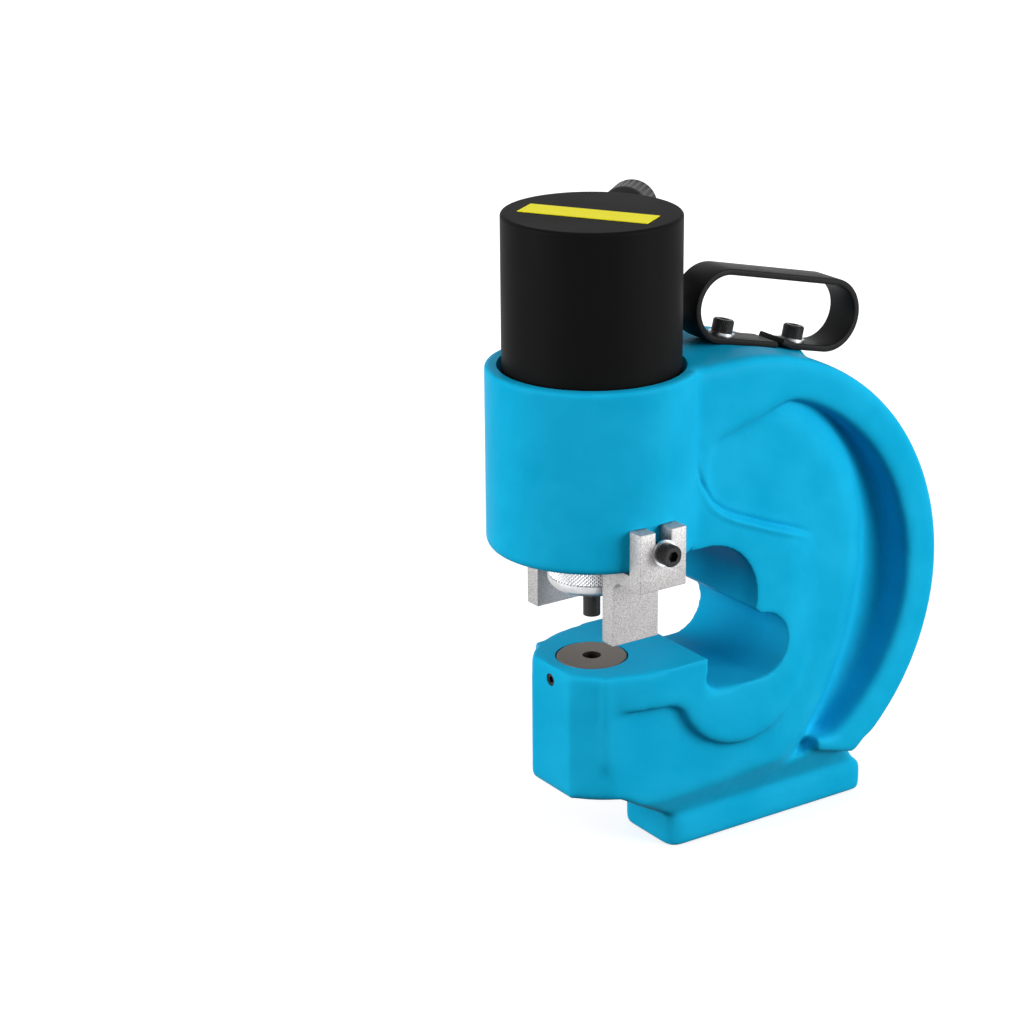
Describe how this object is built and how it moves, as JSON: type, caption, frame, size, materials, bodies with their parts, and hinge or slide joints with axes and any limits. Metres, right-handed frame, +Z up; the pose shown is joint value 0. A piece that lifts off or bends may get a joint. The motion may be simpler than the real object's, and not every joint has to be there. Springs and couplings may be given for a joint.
{
  "type": "hydraulic hole punch",
  "caption": "Portable hydraulic hole punch: cast C frame with rounded back, single-acting cylinder, round punch and die, sliding strippers, strap handle and capped oil coupler.",
  "frame": {"origin": "on the floor under the middle of the part's length and width", "axes": "+Z up along the ram; +Y from the nose and ram towards the curved back; +X to the right of the flank when looking from the nose to the back"},
  "size_m": [0.163, 0.3013, 0.4076],
  "materials": {
    "frame_paint": "smooth semi-gloss blue enamel on a steel casting",
    "cylinder_paint": "semi-gloss black enamel",
    "handle_paint": "satin black powder coat",
    "die_steel": "dark oiled tool steel",
    "punch_steel": "black oxide tool steel",
    "bright_steel": "turned bright steel",
    "ram_chrome": "ground and hard-chromed",
    "stripper_steel": "grainy zinc-plated steel",
    "washer_zinc": "bright zinc plate",
    "black_screws": "black oxide alloy steel",
    "coupler_steel": "zinc-plated steel",
    "spring_steel": "oiled spring steel",
    "bronze": "turned bearing bronze",
    "seal_rubber": "smooth nitrile rubber",
    "wear_plastic": "filled guide-ring plastic",
    "cap_plastic": "ribbed black plastic",
    "label": "plain yellow film label"
  },
  "bodies": {
    "press": {"frame": "frame_paint", "die": "die_steel", "die_set_screw": "black_screws", "cylinder_body": "cylinder_paint", "ram_bush": "bronze", "ram_wiper": "seal_rubber", "return_spring": "spring_steel", "stripper_screws": "black_screws", "stripper_washers": "washer_zinc", "handle_strap": "handle_paint", "handle_screws": "black_screws", "handle_washers": "washer_zinc", "inlet_adapter": "coupler_steel", "coupler_body": "coupler_steel", "coupler_spring": "spring_steel", "label_plate": "label"},
    "ram_unit": {"ram": "ram_chrome", "piston": "bright_steel", "piston_seal": "seal_rubber", "wear_ring": "wear_plastic", "punch": "punch_steel", "punch_nut": "bright_steel"},
    "right_stripper": {"stripper_right": "stripper_steel"},
    "left_stripper": {"stripper_left": "stripper_steel"},
    "valve": {"coupler_ball": "coupler_steel"},
    "cap": {"dust_cap": "cap_plastic"}
  },
  "joints": [
    {"name": "ram_stroke", "type": "slide", "parent": "press", "child": "ram_unit", "axis": [0, 0, -1], "range_m": [0, 0.029], "stiffness_N_per_m": 14400, "springref_m": -0.02, "deforming": ["return_spring"]},
    {"name": "stripper_right_set", "type": "slide", "parent": "press", "child": "right_stripper", "axis": [0, 0, -1], "range_m": [0, 0.012]},
    {"name": "stripper_left_set", "type": "slide", "parent": "press", "child": "left_stripper", "axis": [0, 0, -1], "range_m": [0, 0.012]},
    {"name": "valve_ball", "type": "slide", "parent": "press", "child": "valve", "axis": [0.6428, -0.766, 0], "range_m": [0, 0.0025], "stiffness_N_per_m": 2500, "springref_m": -0.002, "deforming": ["coupler_spring"]},
    {"name": "dust_cap_pull", "type": "slide", "parent": "press", "child": "cap", "axis": [-0.6428, 0.766, 0], "range_m": [0, 0.025]}
  ]
}
